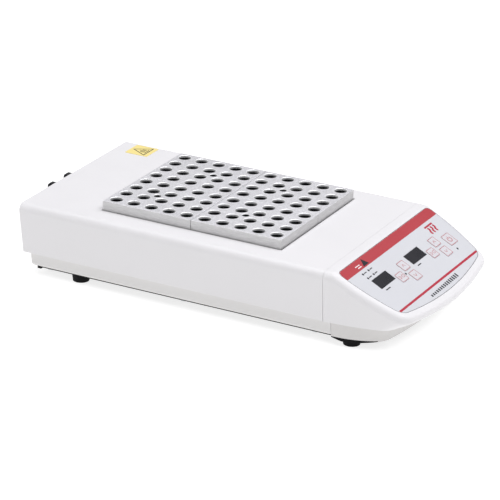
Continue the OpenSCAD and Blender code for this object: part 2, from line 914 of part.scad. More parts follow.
module switch_frame() color(black) {
    on_rear(switch_at[0], switch_at[1]) difference() {
        union() {
            translate([-7.8, 0, -10.8]) cube([15.6, 1.8, 21.6]);
            translate([0, -8, 0]) cube([switch_body_w, 16, switch_body_l], center = true);
        }
        translate([-5.2, -9, -8.4]) cube([10.4, 12, 16.8]);
        translate([0, -2.5, 0]) rotate([0, 90, 0]) cylinder(h = 20, r = rocker_pin_r + 0.05, center = true);
    }
}

// Rocker at rest with its upper end pressed in
module switch_rocker() color([0.1, 0.1, 0.11]) {
    on_rear(switch_at[0], switch_at[1]) translate([0, -2.5, 0]) {
        rotate([rocker_tilt, 0, 0]) translate([-rocker_w / 2 + 1.6, 0, 0]) rotate([90, 0, 90])
            linear_extrude(rocker_w - 3.2)
                polygon([[-3, -3], [-3, 3], [3.2, 7.3], [5.2, 7.1], [3.6, 0], [5.2, -7.1], [3.2, -7.3]]);
        rotate([0, 90, 0]) cylinder(h = rocker_w - 0.2, r = rocker_pin_r, center = true);
    }
}

module probe_jack() color(steel) {
    on_rear(jack_at[0], jack_at[1]) outward() difference() {
        union() {
            translate([0, 0, -14]) cylinder(h = 16, r = jack_r);
            cylinder(h = 1.6, r = 7.5);
            translate([0, 0, -wall - 2.6]) cylinder(h = 2.5, r = 7.5, $fn = 6);
        }
        translate([0, 0, -11]) cylinder(h = 14, r = 1.75);
    }
}

// ---------- rod clamp ----------

module rod_groove() {
    translate([clamp_x, rear_y + seat_t + bar_gap / 2, 0]) cylinder(h = big, r = rod_d / 2 + 0.05);
}

module clamp_studs_at() {
    for (x = [-knob_x, knob_x])
        translate([clamp_x + x, rear_y, clamp_z]) outward() children();
}

module rod_clamp_seat() color(steel) {
    difference() {
        translate([clamp_x - clamp_w / 2, rear_y - 5, clamp_z - seat_h / 2])
            cube([clamp_w, 5 + seat_t, seat_h]);
        on_rear() translate([-big / 2, -big, -big / 2]) cube(big);
        rod_groove();
        clamp_studs_at() translate([0, 0, -20]) cylinder(h = 40, r = stud_r);
    }
}

module rod_clamp_bar() color(steel) {
    difference() {
        translate([clamp_x - clamp_w / 2, rear_y + seat_t + bar_gap, clamp_z - bar_h / 2])
            cube([clamp_w, bar_t, bar_h]);
        rod_groove();
        clamp_studs_at() cylinder(h = 40, r = stud_r + 0.08);
    }
}

module clamp_studs() color(steel) {
    clamp_studs_at() {
        translate([0, 0, -8]) cylinder(h = 8 + stud_len, r = stud_r - 0.01);
        translate([0, 0, -8]) cylinder(h = 3.5, r = 5, $fn = 6);
    }
}

module clamp_knob(x) color(black) {
    lobe_r = 2.4;
    lobe_out = 1;
    start = seat_t + bar_gap + bar_t + knob_gap;
    translate([clamp_x + x, rear_y + start, clamp_z]) outward() rotate([0, 0, 90]) difference() {
        union() {
            cylinder(h = knob_t, r = knob_d / 2 - lobe_out);
            for (a = [0:72:288])
                rotate([0, 0, a]) translate([knob_d / 2 - lobe_r, 0, 0]) cylinder(h = knob_t, r = lobe_r);
        }
        translate([0, 0, -1]) cylinder(h = stud_len - start + 1.6, r = stud_r + 0.05);
    }
}

module clamp_knob_left() clamp_knob(-knob_x);
module clamp_knob_right() clamp_knob(knob_x);

// ---------- feet, screws and trim ----------

module at_feet() {
    for (x = [-foot_x, foot_x], y = foot_ys)
        translate([x, y, 0]) children();
}

module rubber_feet() color(black) {
    at_feet() difference() {
        cylinder(h = foot_h, d1 = foot_d - 2, d2 = foot_d);
        translate([0, 0, -1]) cylinder(h = 1 + foot_h / 2, r = 4.4);
        cylinder(h = foot_h + 1, r = 1.7);
    }
}

module foot_screws() color(steel) {
    at_feet() translate([0, 0, foot_h / 2]) pan_screw(3.4, 2.2, screw_r, floor_top + 3 - foot_h / 2);
}

module cover_screws() color(steel) {
    for (x = [-boss_x, boss_x], y = boss_ys)
        translate([x, y, foot_h]) pan_screw(2.8, 2, screw_r - 0.05, 14);
}

module console_screws() color(steel) {
    mirror_x() for (p = console_boss_at)
        translate([p[0], p[1], foot_h]) pan_screw(2.8, 2, screw_r - 0.05, 14);
}

module hot_surface_label() color([0.95, 0.8, 0.2]) {
    translate([label_at[0], label_at[1], case_h])
        linear_extrude(0.25) round_rect(label_size, label_size, 1.5);
}

// Flat cable that runs under the insulation from the power board to the control board
module ribbon_cable() color([0.6, 0.6, 0.62]) {
    t = 1;
    y0 = power_board_y - 26;
    y1 = crease_y - 12;
    z0 = floor_top + 0.4;
    z1 = power_board_z + 1;
    z2 = 54;
    along_x(22, 42) polygon([
        [y0, z1], [y0 + t, z1], [y0 + t, z0], [y1, z0], [y1, z2], [y1 + t, z2], [y1 + t, z0 + t], [y0, z0 + t]
    ]);
}

// Mains leads from the inlet's tabs to the terminal block
module mains_wires() color([0.5, 0.3, 0.15]) {
    lead_r = 1.1;
    z = case_h + inlet_at[1];
    y0 = power_board_y - 8;
    y1 = rear_y - inlet_depth - 1.6;
    z0 = power_board_z + board_t + 8.1;
    for (i = [-1:1]) translate([-56 + 5.6 * i, y0, 0]) {
        translate([0, 0, z0]) cylinder(h = z - z0, r = lead_r);
        translate([0, 0, z]) rotate([-90, 0, 0]) cylinder(h = y1 - y0, r = lead_r);
        translate([0, 0, z]) sphere(r = lead_r);
    }
}

// ---------- nodes ----------

top_cover();
front_console();
base_tray();
console_base();
bottom_plate();
keypad_overlay();
key_temp_up();
key_temp_start();
key_temp_down();
key_time_up();
key_time_start();
key_time_down();
key_standby();
display_windows();
display_modules();
control_board();
control_board_screws();
tactile_switches();
indicator_leds();
block_rear_left();
block_rear_right();
block_front_left();
block_front_right();
well_liner();
heater_plate();
heating_mat();
floor_insulation();
side_insulation();
plate_standoffs();
plate_screws();
thermal_cutout();
temperature_probe();
power_board();
power_board_standoffs();
transformer();
relay();
triac();
heat_sink();
terminal_block();
power_inlet();
inlet_pins();
fuse_drawer();
fuses();
switch_frame();
switch_rocker();
probe_jack();
rod_clamp_seat();
rod_clamp_bar();
clamp_knob_left();
clamp_knob_right();
clamp_studs();
rubber_feet();
foot_screws();
cover_screws();
console_screws();
hot_surface_label();
ribbon_cable();
mains_wires();
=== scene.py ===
import json
import math

import bmesh
import bpy
from mathutils import Matrix, Vector


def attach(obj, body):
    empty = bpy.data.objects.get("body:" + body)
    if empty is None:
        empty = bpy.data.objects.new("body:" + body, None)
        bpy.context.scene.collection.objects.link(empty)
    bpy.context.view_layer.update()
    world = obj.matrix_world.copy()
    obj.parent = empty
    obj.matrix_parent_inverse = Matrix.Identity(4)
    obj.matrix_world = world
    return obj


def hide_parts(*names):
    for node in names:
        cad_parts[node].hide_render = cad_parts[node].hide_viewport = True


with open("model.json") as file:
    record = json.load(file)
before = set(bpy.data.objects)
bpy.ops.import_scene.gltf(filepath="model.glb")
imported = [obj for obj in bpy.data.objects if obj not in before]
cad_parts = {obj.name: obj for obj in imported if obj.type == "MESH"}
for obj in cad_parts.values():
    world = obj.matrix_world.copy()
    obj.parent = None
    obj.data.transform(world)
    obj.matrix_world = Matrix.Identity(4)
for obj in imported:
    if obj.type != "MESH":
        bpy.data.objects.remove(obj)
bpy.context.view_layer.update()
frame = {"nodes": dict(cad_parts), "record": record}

MM = 0.001

# ---------------------------------------------------------------- sizes in mm

# the case, the panel, the label and the blocks are the CAD's; gaps and chamfers are finer

CASE_W, CASE_H, SPLIT_H, WALL = 210.0, 74.0, 24.0, 3.0
FRONT_Y, REAR_Y = -217.5, 195.7
SEAM_Y = FRONT_Y + 88.5
CREASE_Y = FRONT_Y + 79.0
SEAM_TOP, SEAM_LOW = 0.14, 0.5
BLOCK_Y = REAR_Y - 172.2
EDGE_R, LIP_R, CORNER_R = 7.5, 4.5, 18.0
SIDE_BOW, FRONT_BOW = 200.0, 400.0
DRAFT, REAR_DRAFT, SLOPE = (math.radians(a) for a in (5.0, 3.0, 26.5))
PANEL_LEN = 89.8
BOW_START, RIM_SETBACK = -5.0, 15.0
EDGE_X = CASE_W / 2 - EDGE_R * math.tan(DRAFT) - EDGE_R / math.cos(DRAFT)
EDGE_Z = CASE_H - EDGE_R
OPENING_X, OPENING_Y, OPENING_BEVEL = 77.0, 96.0, 0.4
COVER_TOE, REAR_EDGE_R = 0.9, 1.6
OVERLAY_HALF, OVERLAY_TOP, OVERLAY_END = 96.7, 2.3, 80.1
OVERLAY_TOP_R, OVERLAY_CORNER_R = 5.0, 14.0
OVERLAY_GAP, OVERLAY_SINK = 0.45, 1.1
BLOCK_W, BLOCK_L, BLOCK_Z0, BLOCK_Z1 = 76.0, 95.0, 33.0, 83.8
BLOCK_STEP_X, BLOCK_STEP_Y = 76.4, 95.4
BLOCK_EDGE, BLOCK_END_GAP = 0.5, 0.05
TUBE_COLUMNS, TUBE_ROWS, TUBE_STEP_X, TUBE_STEP_Y = 4, 5, 18.9, 19.05
TUBE_R, TUBE_DEEP, TUBE_CHAMFER = 6.2, 44.0, 0.5
THERMO_R, THERMO_DEEP, THERMO_CHAMFER, THERMO_Y = 3.6, 38.0, 0.35, 9.525
BORE_GAP, TIP_R, TIP_SLOPE = 0.05, 0.2, 0.35
# each block: side in x, side in y, and the side of its middle that its thermometer well is on
BLOCKS = {
    "block_rear_left": (-1, 1, 1),
    "block_rear_right": (1, 1, -1),
    "block_front_left": (-1, -1, 1),
    "block_front_right": (1, -1, 1),
}

# on the panel, from its middle and down from its top edge: x, s, width and height
KEYS = {
    "key_temp_up": (-17.4, 34.7, 12.4, 11.2),
    "key_temp_start": (-35.0, 42.4, 12.4, 11.2),
    "key_temp_down": (-17.4, 49.0, 12.4, 11.2),
    "key_time_up": (51.0, 34.7, 12.4, 11.2),
    "key_time_start": (33.4, 42.4, 12.4, 11.2),
    "key_time_down": (51.0, 49.0, 12.4, 11.2),
    "key_standby": (72.3, 41.7, 14.2, 13.8),
}
WINDOWS = [(-58.2, 33.8), (10.2, 33.8)]
WINDOW_W, WINDOW_L, WINDOW_GAP, WINDOW_R = 29.2, 12.4, 0.3, 0.3
KEY_GAP, KEY_R, KEY_WELL, SWITCH_HOLE_R = 0.4, 1.4, 1.8, 2.4
LEDS = [(-72.4, 17.8), (-60.8, 17.8), (-72.4, 23.8), (-60.8, 23.8), (-26.0, 42.4), (67.6, 54.1)]
CAPTIONED_LEDS = 4

# holes in the rear wall, from its top edge: x, z, width and height, or x, z and radius
REAR_HOLES = ((-62, -28, 28.8, 27.4), (48, -28, 13.6, 19.8))
JACK_HOLE = (74, -28, 5.2)

# a cutter reaches this far out of a surface, and this far through a wall
CUT_ABOVE, CUT_THROUGH = 5.0, 8.0


# ---------------------------------------------------------------- materials


def new_material(name):
    m = bpy.data.materials.new(name)
    m.use_nodes = True
    tree = m.node_tree
    tree.nodes.clear()
    out = tree.nodes.new("ShaderNodeOutputMaterial")
    shader = tree.nodes.new("ShaderNodeBsdfPrincipled")
    tree.links.new(shader.outputs[0], out.inputs[0])
    return m, tree, shader


def noise(tree, scale, detail, stretch=(1, 1, 1), rough=0.55):
    """Noise fixed to the object: more lines across an axis the more it is stretched there."""
    coords = tree.nodes.new("ShaderNodeTexCoord")
    mapping = tree.nodes.new("ShaderNodeMapping")
    mapping.inputs["Scale"].default_value = stretch
    tree.links.new(coords.outputs["Object"], mapping.inputs["Vector"])
    n = tree.nodes.new("ShaderNodeTexNoise")
    n.inputs["Scale"].default_value = scale
    n.inputs["Detail"].default_value = detail
    n.inputs["Roughness"].default_value = rough
    tree.links.new(mapping.outputs[0], n.inputs["Vector"])
    return n.outputs["Fac"]


def remap(tree, value, low, high, from_low=0.3, from_high=0.7):
    r = tree.nodes.new("ShaderNodeMapRange")
    r.inputs["From Min"].default_value = from_low
    r.inputs["From Max"].default_value = from_high
    r.inputs["To Min"].default_value = low
    r.inputs["To Max"].default_value = high
    tree.links.new(value, r.inputs["Value"])
    return r.outputs["Result"]


def mix_colours(tree, factor, a, b):
    m = tree.nodes.new("ShaderNodeMix")
    m.data_type = "RGBA"
    tree.links.new(factor, m.inputs["Factor"])
    colour_a, colour_b, colour_out = 6, 7, 2
    m.inputs[colour_a].default_value = (*a, 1)
    m.inputs[colour_b].default_value = (*b, 1)
    return m.outputs[colour_out]


def vary_colour(tree, shader, factor, colour, vary):
    """Base colour between a darker and a lighter shade of colour, by a noise factor."""
    dark = tuple(c * (1 - vary) for c in colour)
    light = tuple(min(1, c * (1 + vary)) for c in colour)
    shade = mix_colours(tree, remap(tree, factor, 0, 1), dark, light)
    tree.links.new(shade, shader.inputs["Base Color"])


def add_bump(tree, shader, height, strength, distance):
    bump = tree.nodes.new("ShaderNodeBump")
    bump.inputs["Strength"].default_value = strength
    bump.inputs["Distance"].default_value = distance
    tree.links.new(height, bump.inputs["Height"])
    tree.links.new(bump.outputs[0], shader.inputs["Normal"])


def plastic(name, colour, rough, vary, rough_vary, grain=0.0, grain_scale=2600, shine=0.5):
    """A moulded or painted surface: faint mottling, uneven gloss and a fine grain."""
    m, tree, shader = new_material(name)
    vary_colour(tree, shader, noise(tree, 14, 4), colour, vary)
    gloss = remap(tree, noise(tree, 60, 5), rough - rough_vary, rough + rough_vary)
    tree.links.new(gloss, shader.inputs["Roughness"])
    shader.inputs["Specular IOR Level"].default_value = shine
    if grain:
        add_bump(tree, shader, noise(tree, grain_scale, 2), grain, 0.05 * MM)
    return m


def brushed(name, colour, rough, stretch, scale=160, depth=0.25, vary=0.05):
    """Milled or brushed metal: fine lines along one axis in gloss, colour and height."""
    m, tree, shader = new_material(name)
    lines = noise(tree, scale, 4, stretch, 0.6)
    broad = noise(tree, 22, 3)
    vary_colour(tree, shader, lines, colour, vary)
    shader.inputs["Metallic"].default_value = 1.0
    add = tree.nodes.new("ShaderNodeMath")
    add.operation = "ADD"
    tree.links.new(remap(tree, lines, rough - 0.05, rough + 0.07), add.inputs[0])
    tree.links.new(remap(tree, broad, -0.03, 0.03), add.inputs[1])
    tree.links.new(add.outputs[0], shader.inputs["Roughness"])
    add_bump(tree, shader, lines, depth, 0.03 * MM)
    return m


def painted_bore_light(name, shade_at, highlight_at):
    """Bore walls with painted light: a painted highlight down to one depth in mm below the block's
    top, and painted shade from another.
    """
    m, tree, shader = new_material(name)
    coords = tree.nodes.new("ShaderNodeTexCoord")
    axes = tree.nodes.new("ShaderNodeSeparateXYZ")
    tree.links.new(coords.outputs["Object"], axes.inputs[0])
    rings = noise(tree, 90, 3, (1, 1, 30))
    wobble = tree.nodes.new("ShaderNodeMath")
    wobble.operation = "MULTIPLY_ADD"
    wobble.inputs[1].default_value = 0.6 * MM
    tree.links.new(rings, wobble.inputs[0])
    tree.links.new(axes.outputs["Z"], wobble.inputs[2])
    shade_z, highlight_z = (BLOCK_Z1 - shade_at) * MM, (BLOCK_Z1 - highlight_at) * MM
    depth = remap(tree, wobble.outputs[0], 0, 1, shade_z, highlight_z)
    shade = mix_colours(tree, depth, BORE_PAINTED_SHADE, BORE_PAINTED_HIGHLIGHT)
    tree.links.new(shade, shader.inputs["Base Color"])
    tree.links.new(remap(tree, rings, 0.34, 0.46), shader.inputs["Roughness"])
    shader.inputs["Metallic"].default_value = 0.4
    return m


# colour, roughness, colour variation, roughness variation, then grain, its scale, and gloss
PLASTICS = {
    "cover_white": ((0.715, 0.705, 0.718), 0.40, 0.008, 0.05, 0.25, 1800),
    # console_grey is a darker, warmer copy of base_grey, used as painted shade on the console's
    # base under the lip
    "console_grey": ((0.635, 0.62, 0.612), 0.42, 0.01, 0.05, 0.3, 2200),
    "base_grey": ((0.68, 0.67, 0.665), 0.42, 0.01, 0.05, 0.3, 2200),
    "overlay_film": ((0.575, 0.58, 0.61), 0.40, 0.01, 0.05, 0.3, 3200),
    "key_film": ((0.585, 0.575, 0.605), 0.40, 0.01, 0.05, 0.3, 3200),
    "black_plastic": ((0.010, 0.010, 0.012), 0.42, 0.2, 0.08, 0.4, 2600, 0.35),
    "knob_black": ((0.006, 0.006, 0.008), 0.36, 0.2, 0.08, 0.4, 2600, 0.25),
    "black_steel": ((0.004, 0.004, 0.0045), 0.55, 0.2, 0.08, 0.4, 2600, 0.12),
    "foot_rubber": ((0.004, 0.004, 0.0045), 0.62, 0.25, 0.1, 0.5, 1400, 0.12),
    "window_glass": ((0.004, 0.004, 0.009), 0.30, 0.1, 0.05, 0.1),
    "board": ((0.03, 0.16, 0.07), 0.35, 0.1, 0.06),
    "led_red": ((0.5, 0.03, 0.03), 0.2, 0.05, 0.05),
    "mat_rubber": ((0.42, 0.10, 0.03), 0.6, 0.08, 0.08, 0.4),
    "insulation": ((0.75, 0.72, 0.62), 0.9, 0.08, 0.05, 1.0, 900),
    "core_iron": ((0.06, 0.06, 0.07), 0.4, 0.1, 0.08),
    "relay_blue": ((0.03, 0.06, 0.35), 0.3, 0.05, 0.05),
    "terminal_green": ((0.03, 0.25, 0.1), 0.4, 0.05, 0.05),
    "fuse_glass": ((0.75, 0.78, 0.8), 0.12, 0.03, 0.04),
    "ribbon_grey": ((0.4, 0.4, 0.42), 0.45, 0.05, 0.06),
    "wire_brown": ((0.16, 0.06, 0.02), 0.4, 0.08, 0.06),
    "label_yellow": ((0.82, 0.68, 0.25), 0.4, 0.03, 0.06, 0.2),
    "print_red": ((0.40, 0.030, 0.042), 0.42, 0.02, 0.05, 0.2, 3200),
    "print_crimson": ((0.40, 0.012, 0.035), 0.42, 0.02, 0.05, 0.2, 3200),
    # print_dark_and_gap_shade is the dark print, and it also colours the painted shade line in the
    # gap round the label
    "print_dark_and_gap_shade": ((0.014, 0.014, 0.02), 0.4, 0.05, 0.05, 0.0, 2600, 0.3),
    "print_white": ((0.82, 0.80, 0.80), 0.4, 0.02, 0.05),
}
# colour, roughness, stretch of the lines, then their scale, their depth and colour variation
METALS = {
    "block_aluminium": ((0.78, 0.775, 0.80), 0.56, (1, 1, 2.5), 900, 0.6, 0.14),
    # the blocks' sides: a darker copy of the top's metal as painted shade, with lines running their
    # own way
    "block_side_painted_shade": ((0.675, 0.672, 0.672), 0.56, (0.15, 0.15, 1.5), 900, 0.6, 0.12),
    "plate_aluminium": ((0.66, 0.67, 0.69), 0.3, (1, 20, 1)),
    "liner_steel": ((0.45, 0.45, 0.46), 0.35, (1, 1, 12)),
    "zinc_steel": ((0.6, 0.61, 0.62), 0.3, (6, 6, 1), 400),
    "jack_chrome": ((0.5, 0.5, 0.52), 0.22, (1, 1, 1), 200, 0.1),
    "pin_brass": ((0.72, 0.62, 0.4), 0.25, (1, 8, 1), 300),
}
# depths in mm where a bore's wall is dark with painted shade, and where it is bright with a painted
# highlight
BORES = {
    "block_bore_painted_light": (2.4, 1.4),
    "block_probe_bore_painted_light": (0.9, 0.5),
}
# painted shade deep in the bores, and a painted highlight near their mouths that is brighter than
# the block's metal
BORE_PAINTED_SHADE, BORE_PAINTED_HIGHLIGHT = (0.012, 0.012, 0.015), (0.95, 0.95, 0.96)

MATERIALS = {name: plastic(name, *look) for name, look in PLASTICS.items()}
MATERIALS.update({name: brushed(name, *look) for name, look in METALS.items()})
MATERIALS.update({name: painted_bore_light(name, *depths) for name, depths in BORES.items()})


# ---------------------------------------------------------------- mesh helpers


def link(bm, name, material, body="housing", replaces=()):
    """An object made from bm that rides on a body; slot defaults to the material's name."""
    mesh = mesh_from(bm, name)
    obj = bpy.data.objects.new(name, mesh)
    bpy.context.scene.collection.objects.link(obj)
    mesh.materials.append(MATERIALS[material])
    if replaces:
        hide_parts(*replaces)
    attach(obj, body)
    return obj


def mesh_from(bm, name):
    """A mesh made from bm, which is freed."""
    mesh = bpy.data.meshes.new(name)
    bm.to_mesh(mesh)
    bm.free()
    return mesh


def hull(points):
    """bmesh of the convex hull of points in mm, with coplanar triangles joined."""
    flat = math.radians(0.2)
    bm = bmesh.new()
    for p in points:
        bm.verts.new(Vector(p) * MM)
    bmesh.ops.remove_doubles(bm, verts=bm.verts, dist=1e-6)
    result = bmesh.ops.convex_hull(bm, input=bm.verts)
    unused = result["geom_interior"] + result["geom_unused"]
    loose = {g for g in unused if isinstance(g, bmesh.types.BMVert)}
    bmesh.ops.delete(bm, geom=list(loose), context="VERTS")
    bmesh.ops.dissolve_limit(bm, angle_limit=flat, verts=bm.verts, edges=bm.edges)
    bmesh.ops.recalc_face_normals(bm, faces=bm.faces)
    return bm


def prism(outline, matrix, z0, z1):
    """Closed prism from a 2D outline in mm, between two heights of the frame in matrix."""
    bm = bmesh.new()
    low = [bm.verts.new(matrix @ Vector((x, y, z0)) * MM) for x, y in outline]
    high = [bm.verts.new(matrix @ Vector((x, y, z1)) * MM) for x, y in outline]
    n = len(outline)
    bm.faces.new(list(reversed(low)))
    bm.faces.new(high)
    for i in range(n):
        bm.faces.new((low[i], low[(i + 1) % n], high[(i + 1) % n], high[i]))
    bmesh.ops.recalc_face_normals(bm, faces=bm.faces)
    return bm


def box_points(x0, x1, y0, y1, z0, z1):
    return [(x, y, z) for x in (x0, x1) for y in (y0, y1) for z in (z0, z1)]


def joined(parts):
    """One bmesh from several, which are freed."""
    out = bmesh.new()
    for part in parts:
        mesh = mesh_from(part, "part")
        out.from_mesh(mesh)
        bpy.data.meshes.remove(mesh)
    return out


def cut(bm, cutters):
    """bm with each cutter taken away, as a new bmesh."""
    base = bpy.data.objects.new("base", mesh_from(bm, "base"))
    bpy.context.scene.collection.objects.link(base)
    tools = []
    for i, c in enumerate(cutters):
        tool = bpy.data.objects.new(f"tool{i}", mesh_from(c, f"tool{i}"))
        bpy.context.scene.collection.objects.link(tool)
        tools.append(tool)
        mod = base.modifiers.new(f"cut{i}", "BOOLEAN")
        mod.operation, mod.solver, mod.object = "DIFFERENCE", "EXACT", tool
    graph = bpy.context.evaluated_depsgraph_get()
    result = bpy.data.meshes.new_from_object(base.evaluated_get(graph))
    out = bmesh.new()
    out.from_mesh(result)
    bpy.data.meshes.remove(result)
    for o in [base, *tools]:
        mesh = o.data
        bpy.data.objects.remove(o)
        bpy.data.meshes.remove(mesh)
    return out


def smooth(obj):
    """Smooth shading with creases, and corner normals weighted by face size."""
    crease = math.radians(30)
    mesh = obj.data
    mesh.polygons.foreach_set("use_smooth", [True] * len(mesh.polygons))
    bm = bmesh.new()
    bm.from_mesh(mesh)
    for e in bm.edges:
        if len(e.link_faces) == 2 and e.calc_face_angle(0) > crease:
            e.smooth = False
    bm.to_mesh(mesh)
    bm.free()
    mod = obj.modifiers.new("weighted", "WEIGHTED_NORMAL")
    mod.keep_sharp = True
    mod.weight = 80


# ---------------------------------------------------------------- outlines


def half_w(z, t=0.0):
    """Half the case's width at height z, inset by t from the drafted wall."""
    return CASE_W / 2 - (CASE_H - z) * math.tan(DRAFT) - t / math.cos(DRAFT)


def cover_profile(t, z0, steps=20, toe=0.0):
    """XZ outline of the cover, inset by t; toe rounds the lower corners."""
    r = EDGE_R - t
    right = [] if toe else [(half_w(z0, t), z0)]
    for a in (math.radians(x) for x in (90, 60, 30, 0) if toe):
        z = z0 + toe * (1 - math.sin(a))
        right.append((half_w(z, t) - toe * (1 - math.cos(a)), z))
    for i in range(steps + 1):
        a = -DRAFT + (math.pi / 2 + DRAFT) * i / steps
        right.append((EDGE_X + r * math.cos(a), EDGE_Z + r * math.sin(a)))
    return right + [(-x, z) for x, z in reversed(right)]


def arcs_meet(a, b):
    """Where two circles (x, y, radius) cross, the crossing with the larger x."""
    dx, dy = b[0] - a[0], b[1] - a[1]
    d = math.hypot(dx, dy)
    u = (a[2] ** 2 - b[2] ** 2 + d * d) / (2 * d)
    v = math.sqrt(a[2] ** 2 - u * u)
    ex, ey = dx / d, dy / d
    p = (a[0] + u * ex - v * ey, a[1] + u * ey + v * ex)
    q = (a[0] + u * ex + v * ey, a[1] + u * ey - v * ex)
    return p if p[0] > q[0] else q


def bow_arcs(hw, y_side, y_front, bow, r):
    """Centres and angles of the side, corner and front arcs of a bowed outline."""
    side = (hw - bow, y_side, bow)
    front = (0.0, y_front + FRONT_BOW, FRONT_BOW)
    c = arcs_meet((side[0], side[1], bow - r), (front[0], front[1], FRONT_BOW - r))
    a_side = math.atan2(c[1] - side[1], c[0] - side[0])
    a_front = math.atan2(c[1] - front[1], c[0] - front[0])
    return side, front, c, a_side, a_front


def on_arc(centre, r, a):
    return centre[0] + r * math.cos(a), centre[1] + r * math.sin(a)


def bow_points(hw, y_side, y_front, bow, r, y_back, inset, steps=24):
    """The whole bowed outline from the right rear round the front to the left rear."""
    side, front, c, a_side, a_front = bow_arcs(hw, y_side, y_front, bow, r)
    right = [(hw - inset, y_back)]
    for i in range(steps + 1):
        right.append(on_arc(side, bow - inset, a_side * i / steps))
    for i in range(1, steps + 1):
        right.append(on_arc(c, r - inset, a_side + (a_front - a_side) * i / steps))
    for i in range(1, steps + 1):
        a = a_front + (-math.pi / 2 - a_front) * i / steps
        right.append(on_arc(front, FRONT_BOW - inset, a))
    return right + [(-x, y) for x, y in reversed(right[:-1])]


# frames of the sloped panel and of the rear wall, both in mm with their origin at the top edge
PANEL = Matrix.Translation((0, CREASE_Y, CASE_H)) @ Matrix.Rotation(SLOPE, 4, "X")
REAR = Matrix.Translation((0, REAR_Y, CASE_H)) @ Matrix.Rotation(-REAR_DRAFT, 4, "X")


def ball(centre, r, rings):
    """Points of a ball's surface for a hull."""
    points = []
    for i in range(rings + 1):
        lat = -math.pi / 2 + math.pi * i / rings
        n = 1 if i in (0, rings) else 2 * rings
        for k in range(n):
            lon = 2 * math.pi * k / n
            points.append((
                centre[0] + r * math.cos(lat) * math.cos(lon),
                centre[1] + r * math.cos(lat) * math.sin(lon),
                centre[2] + r * math.sin(lat),
            ))
    return points


# ---------------------------------------------------------------- shells


def console_hull(t, rings):
    """The console's solid, or with a wall t its hollow, which runs out at the back and below."""
    outside = t == 0
    back = SEAM_Y - SEAM_LOW if outside else SEAM_Y + 1
    rim_z = SPLIT_H if outside else SPLIT_H - 1
    lean = (SEAM_LOW - SEAM_TOP) / (CASE_H - SPLIT_H) if outside else 0
    points = [(x, back + (z - SPLIT_H) * lean, z) for x, z in cover_profile(t, rim_z)]
    soften = EDGE_R * math.tan(SLOPE / 2)
    for x in (-EDGE_X, EDGE_X):
        points += ball((x, CREASE_Y + soften, EDGE_Z), EDGE_R - t, rings)
    rim_half = half_w(SPLIT_H) - 1
    side, front, c, a_side, a_front = bow_arcs(EDGE_X + EDGE_R, BOW_START, -PANEL_LEN,
                                               SIDE_BOW, CORNER_R)
    n = 12
    balls = []  # x, y and radius of balls that roll along inside the panel's edge
    for k in range(n + 1):
        balls.append((*on_arc(side, SIDE_BOW - EDGE_R, a_side * k / n), EDGE_R))
    for k in range(1, n + 1):
        a = a_side + (a_front - a_side) * k / n
        r = EDGE_R + (LIP_R - EDGE_R) * k / n
        balls.append((*on_arc(c, CORNER_R - r, a), r))
    for k in range(1, n + 1):
        a = a_front + (-math.pi / 2 - a_front) * k / n
        balls.append((*on_arc(front, FRONT_BOW - LIP_R, a), LIP_R))
    for x, y, r in balls:
        for m in (-1, 1):
            centre = PANEL @ Vector((m * x, y, -r))
            points += ball(centre, r - t, rings)
    rim = bow_points(rim_half, SEAM_Y, FRONT_Y + RIM_SETBACK, SIDE_BOW, CORNER_R, SEAM_Y + 1, t)
    points += [(x, y, rim_z) for x, y in rim if y <= back]
    points += [(s * (rim_half - t), back, rim_z) for s in (-1, 1)]
    return hull(points)


def overlay_outline(grow):
    """Outline of the keypad label in the panel frame, with round top corners, grown by grow."""
    r = OVERLAY_TOP_R
    x, y = OVERLAY_HALF - r, -OVERLAY_TOP - r
    bowed = bow_points(OVERLAY_HALF, BOW_START, -OVERLAY_END, SIDE_BOW, OVERLAY_CORNER_R,
                       0, -grow, 20)
    corner = [on_arc((x, y), r + grow, math.pi / 2 * (1 - i / 10)) for i in range(11)]
    return corner + [p for p in bowed if p[1] < y] + [(-px, py) for px, py in reversed(corner)]


def clip_below(outline, y_min):
    """The part of a closed outline above y_min."""
    out = []
    n = len(outline)
    for i in range(n):
        p, q = outline[i], outline[(i + 1) % n]
        if p[1] >= y_min:
            out.append(p)
        if (p[1] >= y_min) != (q[1] >= y_min):
            f = (y_min - p[1]) / (q[1] - p[1])
            out.append((p[0] + f * (q[0] - p[0]), y_min))
    return out


def round_rect(cx, cy, w, h, r, steps=5):
    points = []
    for sx, sy, start in ((1, 1, 0), (-1, 1, 90), (-1, -1, 180), (1, -1, 270)):
        corner = (cx + sx * (w / 2 - r), cy + sy * (h / 2 - r))
        for i in range(steps + 1):
            points.append(on_arc(corner, r, math.radians(start + 90 * i / steps)))
    return points


def circle(cx, cy, r, steps=32):
    return [on_arc((cx, cy), r, 2 * math.pi * i / steps) for i in range(steps)]


def build_console():
    cutters = [console_hull(WALL, 6)]
    cutters.append(prism(overlay_outline(OVERLAY_GAP), PANEL, -OVERLAY_SINK, CUT_ABOVE))
    for x, s in WINDOWS:
        window = round_rect(x, -s, WINDOW_W + WINDOW_GAP, WINDOW_L + WINDOW_GAP, WINDOW_R)
        cutters.append(prism(window, PANEL, -CUT_THROUGH, CUT_ABOVE))
    for x, s, w, h in KEYS.values():
        pocket = round_rect(x, -s, w + KEY_GAP, h + KEY_GAP, KEY_R)
        cutters.append(prism(pocket, PANEL, -KEY_WELL, CUT_ABOVE))
        cutters.append(prism(circle(x, -s, SWITCH_HOLE_R, 20), PANEL, -CUT_THROUGH, CUT_ABOVE))
    shell = cut(console_hull(0, 12), cutters)
    smooth(link(shell, "console_shell", "cover_white", replaces=["front_console"]))


def rear_y(z, t):
    """The y of the drafted rear wall at height z, inset by t."""
    return REAR_Y - t - (CASE_H - z) * math.tan(REAR_DRAFT)


